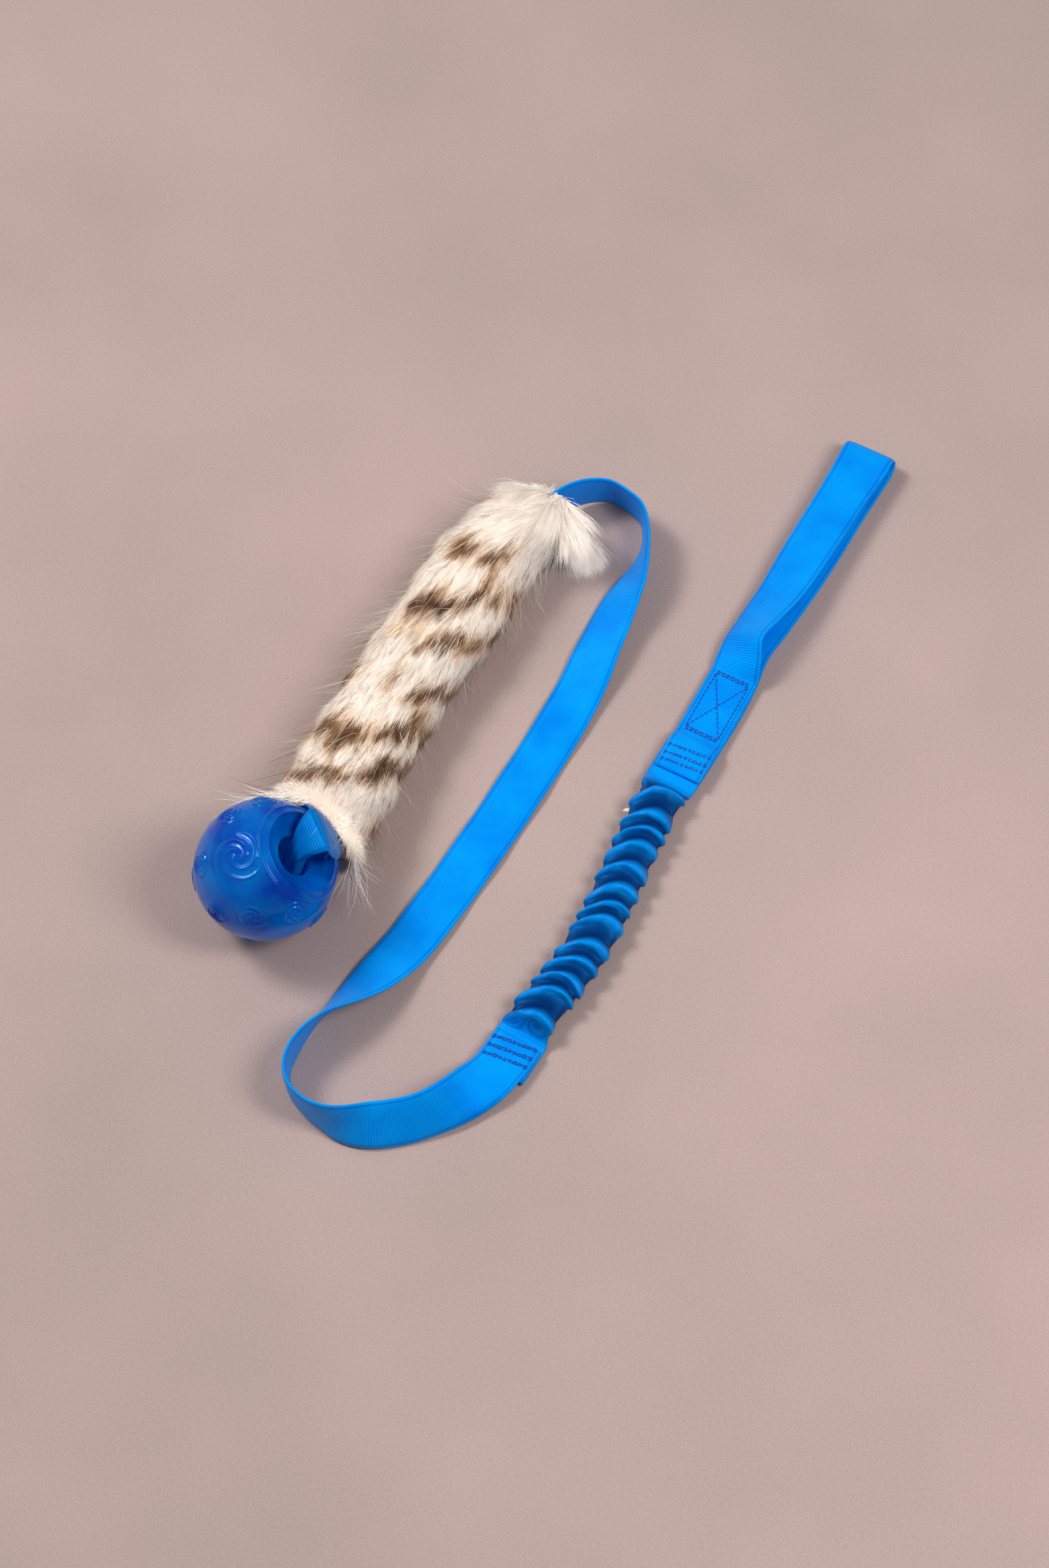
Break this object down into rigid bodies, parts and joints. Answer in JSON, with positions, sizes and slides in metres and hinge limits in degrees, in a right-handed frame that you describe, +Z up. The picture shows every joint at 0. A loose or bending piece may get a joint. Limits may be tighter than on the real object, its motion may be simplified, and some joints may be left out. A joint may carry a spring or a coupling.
{
  "type": "bungee tug toy",
  "caption": "Dog tug toy: flat webbing hand loop, ruched bungee section, long loose strap, fur-covered sleeve and a hollow ball knotted to the end.",
  "frame": {"origin": "on the ground, under the middle of everything but the loose strap", "axes": "+Y from the ball's end to the hand loop, +X from the sleeve and ball to the bungee, +Z up"},
  "size_m": [0.199, 0.4667, 0.0696],
  "materials": {
    "webbing": "satin",
    "cover": "satin",
    "thread": "satin",
    "elastic": "matte",
    "hide": "matte",
    "fur": "matte",
    "ball": "gloss"
  },
  "bodies": {
    "strap": {"strap": "webbing", "sleeve_strap": "webbing", "hide_sleeve": "hide", "fur_pile": "fur", "neck_ruff": "fur", "cuff": "hide", "lower_tack_row_1": "thread", "lower_tack_row_2": "thread", "lower_tack_row_3": "thread", "bungee_cover": "cover", "bungee_elastic": "elastic"},
    "handle": {"handle_loop": "webbing", "x_box_thread": "thread", "box_row_near": "thread", "box_row_far": "thread", "upper_tack_row_1": "thread", "upper_tack_row_2": "thread", "upper_tack_row_3": "thread"},
    "tail": {"strap_fold": "webbing", "tail_knot": "webbing", "tail_end": "webbing"},
    "ball": {"ball_shell": "ball"}
  },
  "joints": [
    {"name": "bungee_stretch", "type": "slide", "parent": "strap", "child": "handle", "axis": [0, 1, 0], "range_m": [0, 0.1], "stiffness_N_per_m": 400, "deforming": ["bungee_cover", "bungee_elastic"]},
    {"name": "ball_swing", "type": "hinge", "parent": "strap", "child": "tail", "pos_m": [-0.0435, -0.149, 0.0625], "axis": [-0.774, 0.6332, 0], "range_deg": [0, 60], "deforming": ["strap_fold"]},
    {"name": "ball_spin", "type": "hinge", "parent": "tail", "child": "ball", "pos_m": [-0.065, -0.168, 0.0346], "axis": [0.6132, 0.2861, 0.7363], "continuous": true}
  ]
}
